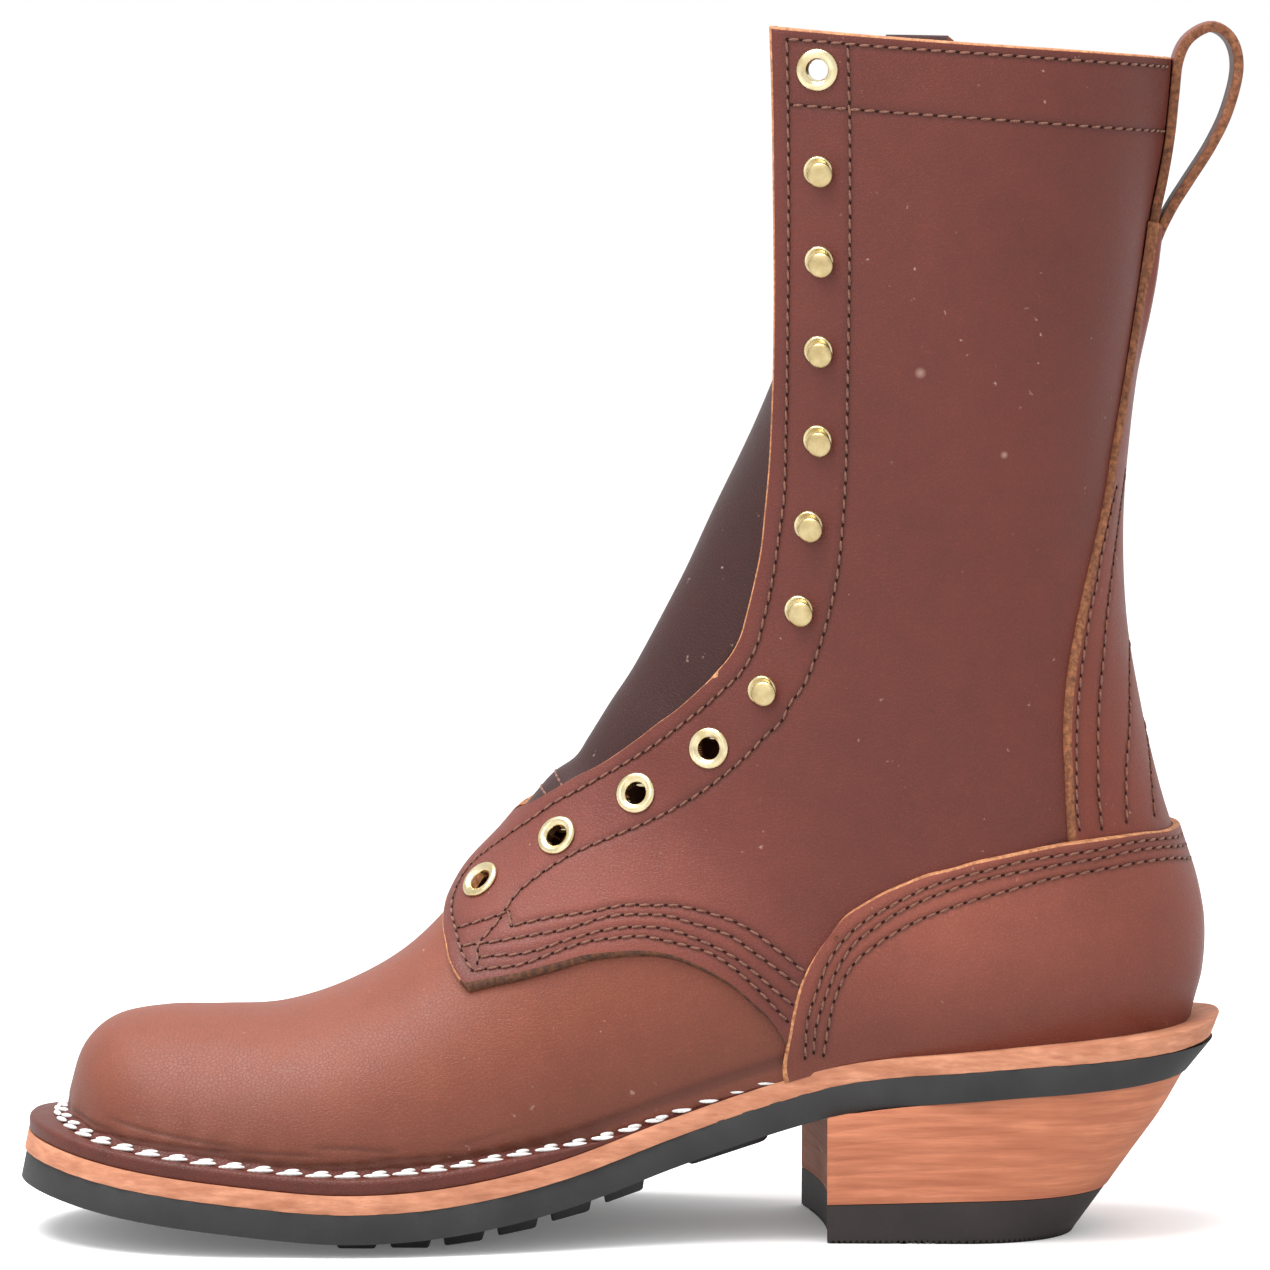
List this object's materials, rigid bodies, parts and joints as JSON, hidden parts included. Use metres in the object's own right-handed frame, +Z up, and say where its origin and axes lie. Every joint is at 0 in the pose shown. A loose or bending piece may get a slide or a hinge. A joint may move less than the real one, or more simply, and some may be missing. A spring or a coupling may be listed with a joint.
{
  "type": "packer boot",
  "caption": "Right lace-up packer boot of brown leather with a tall shaft, hooks and eyelets, stitched-down edge, lugged rubber sole and undershot stacked heel.",
  "frame": {"origin": "middle of the boot's box in plan, on the floor it stands on", "axes": "+Z up; -X towards the toe and +X towards the heel; -Y towards the inner (arch) side and +Y towards the outer side of the foot"},
  "size_m": [0.3106, 0.111, 0.3071],
  "materials": {
    "brown_leather": "oil-tanned, dull",
    "dark_leather": "dark brown, smooth",
    "tan_leather": "cut and sanded edge",
    "black_rubber": "matt, trimmed edge",
    "brown_rubber": "matt, ground edge",
    "brass": "bright"
  },
  "bodies": {
    "root": {"outsole": "black_rubber", "midsole": "tan_leather", "flange": "dark_leather", "heel_stack": "tan_leather", "heel_toplift": "brown_rubber", "insole": "tan_leather", "upper": "brown_leather", "heel_counter": "brown_leather", "backstay": "brown_leather", "tongue": "dark_leather", "pull_loop": "brown_leather", "eyelet_inner_1": "brass", "eyelet_inner_2": "brass", "eyelet_inner_3": "brass", "eyelet_inner_4": "brass", "eyelet_inner_5": "brass", "eyelet_outer_1": "brass", "eyelet_outer_2": "brass", "eyelet_outer_3": "brass", "eyelet_outer_4": "brass", "eyelet_outer_5": "brass", "hook_inner_1": "brass", "hook_inner_2": "brass", "hook_inner_3": "brass", "hook_inner_4": "brass", "hook_inner_5": "brass", "hook_inner_6": "brass", "hook_inner_7": "brass", "hook_outer_1": "brass", "hook_outer_2": "brass", "hook_outer_3": "brass", "hook_outer_4": "brass", "hook_outer_5": "brass", "hook_outer_6": "brass", "hook_outer_7": "brass"}
  },
  "joints": []
}
